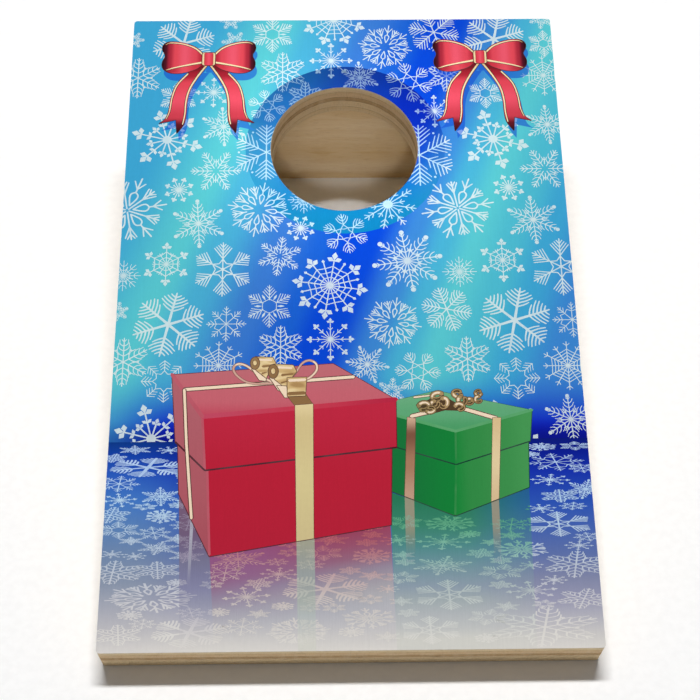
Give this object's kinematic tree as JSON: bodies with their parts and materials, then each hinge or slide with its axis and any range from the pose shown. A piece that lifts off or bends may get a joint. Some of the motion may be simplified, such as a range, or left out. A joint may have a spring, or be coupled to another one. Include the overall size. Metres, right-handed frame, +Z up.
{
  "type": "tabletop cornhole board",
  "caption": "Small sloped plywood target board with a round bag hole, a printed winter scene on its face, tapered side rails and an upright rear panel.",
  "frame": {"origin": "on the table, under the middle of the board's bounding box", "axes": "+Z up, -Y towards the low front edge and the player, +Y towards the upright rear panel, X across"},
  "size_m": [0.1396, 0.2128, 0.0637],
  "materials": {
    "birch_ply": "bare, sanded",
    "printed_laminate": "satin laminate with a printed winter scene in blues",
    "nail_steel": "bright galvanised wire"
  },
  "bodies": {
    "root": {"top_board": "birch_ply", "printed_film": "printed_laminate", "rear_panel": "birch_ply", "left_side_rail": "birch_ply", "right_side_rail": "birch_ply", "left_rail_brads": "nail_steel", "right_rail_brads": "nail_steel", "panel_brads": "nail_steel", "left_corner_brads": "nail_steel", "right_corner_brads": "nail_steel"}
  },
  "joints": []
}
